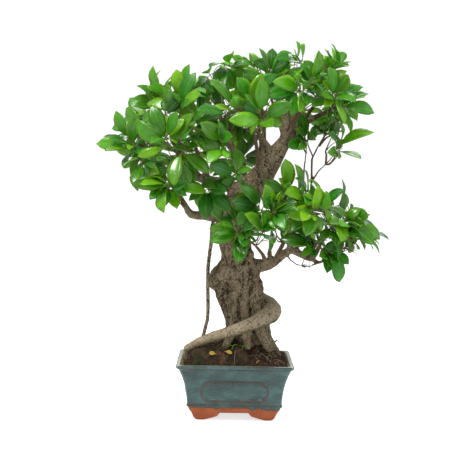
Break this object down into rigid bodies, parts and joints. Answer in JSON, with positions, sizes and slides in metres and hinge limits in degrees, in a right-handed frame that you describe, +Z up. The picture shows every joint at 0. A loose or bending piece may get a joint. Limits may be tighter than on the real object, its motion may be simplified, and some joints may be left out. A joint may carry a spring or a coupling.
{
  "type": "bonsai tree in a pot",
  "caption": "S-curved fig bonsai with coiled surface roots, a dense leafy crown and a low side branch, in a rectangular glazed pot on bracket feet.",
  "frame": {"origin": "under the middle of the whole plant's bounding box, on the plane that the pot's feet stand on", "axes": "+Z up; the pot's long side runs along X and its front, with the open side of the trunk's S, faces -Y"},
  "size_m": [0.496, 0.3606, 0.6503],
  "materials": {
    "glazed_stoneware": "gloss teal glaze that breaks brown on its edges, over an unglazed terracotta base",
    "screen_plastic": "matte black mesh",
    "soil": "damp dark granular mineral and humus mix",
    "moss": "matte soft green",
    "bark": "rough grey-brown bark with pale speckles",
    "root_bark": "rough pale grey-brown root bark",
    "leaf": "semi-gloss green leaves on yellow-green stalks"
  },
  "bodies": {
    "root": {"aerial_root": "root_bark", "drain_screen_left": "screen_plastic", "drain_screen_right": "screen_plastic", "moss_cushion_front": "moss", "moss_cushion_front_left": "moss", "moss_cushion_left": "moss", "moss_cushion_rear": "moss", "moss_cushion_right": "moss", "pot": "glazed_stoneware", "soil": "soil", "spray_centre_brow": "leaf", "spray_centre_face": "leaf", "spray_centre_top": "leaf", "spray_lacy_inner": "leaf", "spray_lacy_middle": "leaf", "spray_lacy_outer": "leaf", "spray_left_brow": "leaf", "spray_left_end": "leaf", "spray_left_face": "leaf", "spray_left_heart": "leaf", "spray_left_inner": "leaf", "spray_left_low_front": "leaf", "spray_left_shoulder": "leaf", "spray_low_crest": "leaf", "spray_low_end": "leaf", "spray_low_face": "leaf", "spray_low_left": "leaf", "spray_low_left_inner": "leaf", "spray_low_middle": "leaf", "spray_low_right": "leaf", "spray_low_right_face": "leaf", "spray_low_under": "leaf", "spray_middle_crest": "leaf", "spray_middle_face": "leaf", "spray_middle_top": "leaf", "spray_rear_left_1": "leaf", "spray_rear_left_2": "leaf", "spray_rear_left_3": "leaf", "spray_rear_left_4": "leaf", "spray_rear_left_5": "leaf", "spray_rear_left_6": "leaf", "spray_rear_left_7": "leaf", "spray_rear_left_8": "leaf", "spray_rear_left_9": "leaf", "spray_rear_low_1": "leaf", "spray_rear_low_2": "leaf", "spray_rear_low_3": "leaf", "spray_rear_low_4": "leaf", "spray_rear_right_1": "leaf", "spray_rear_right_2": "leaf", "spray_rear_right_3": "leaf", "spray_rear_right_4": "leaf", "spray_rear_right_5": "leaf", "spray_right_brow": "leaf", "spray_right_crest": "leaf", "spray_right_end": "leaf", "spray_right_tail": "leaf", "spray_right_top": "leaf", "trunk_and_branches": "bark"}
  },
  "joints": []
}
